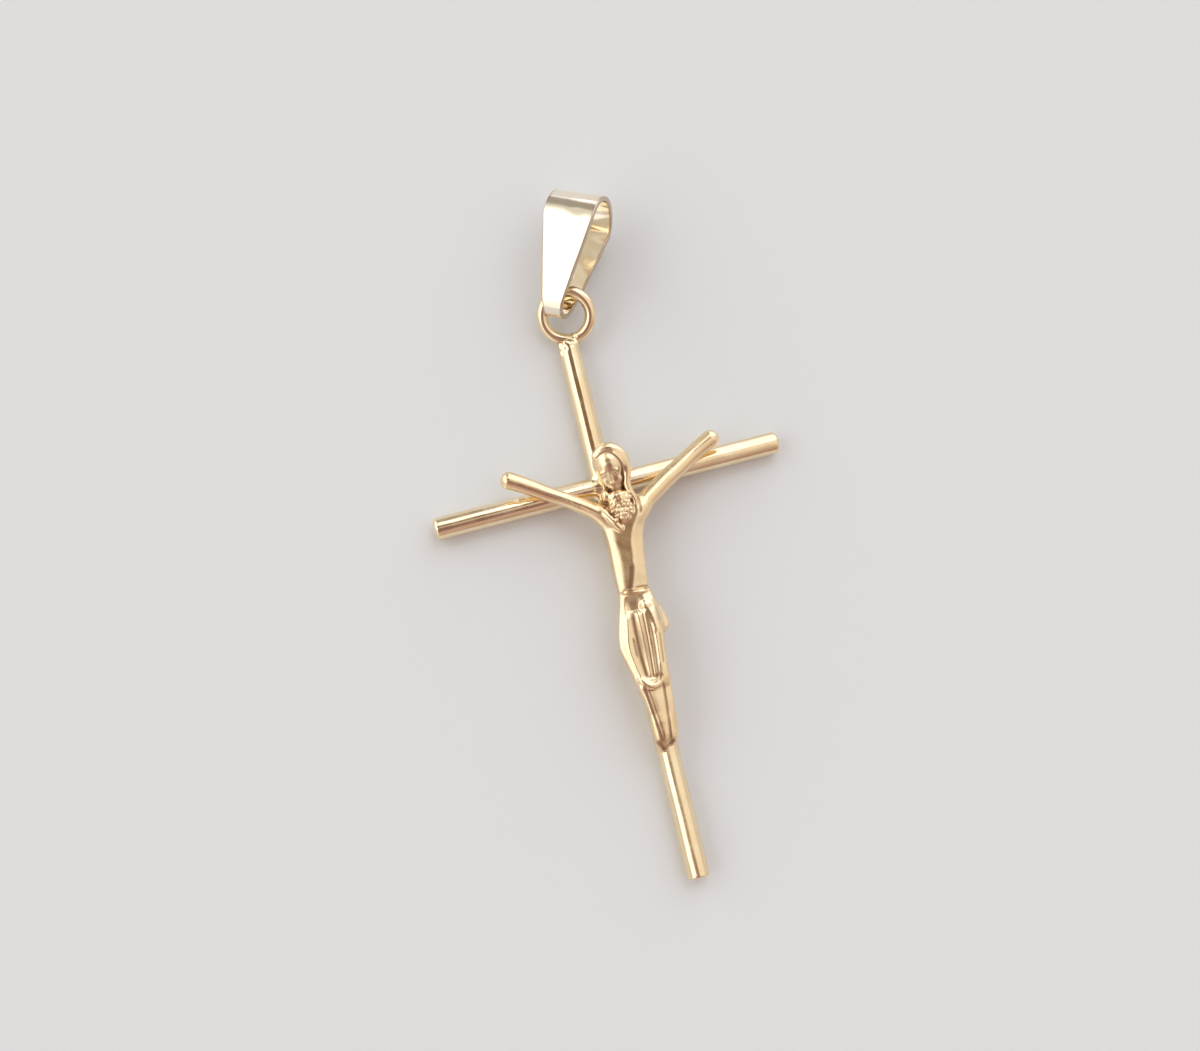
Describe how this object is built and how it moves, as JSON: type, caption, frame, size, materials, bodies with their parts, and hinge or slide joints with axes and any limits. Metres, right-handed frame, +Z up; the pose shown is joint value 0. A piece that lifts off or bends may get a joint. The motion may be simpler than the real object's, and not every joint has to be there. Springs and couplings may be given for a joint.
{
  "type": "cross pendant",
  "caption": "Slim gold cross pendant of round rods with a small cast figure, a soldered ring and a tapered folded bail, lying on its back.",
  "frame": {"origin": "middle of the bounding box in X and Y, on the surface that the pendant lies on", "axes": "+Z up from that surface towards the front of the figure, +Y along the upright from the foot to the bail, +X along the crossbar to the viewer's right"},
  "size_m": [0.0224, 0.0432, 0.0049],
  "materials": {
    "gold": "polished",
    "warm_gold": "polished",
    "pale_gold": "polished"
  },
  "bodies": {
    "root": {"cross": "gold", "figure": "warm_gold", "bail": "pale_gold"}
  },
  "joints": []
}
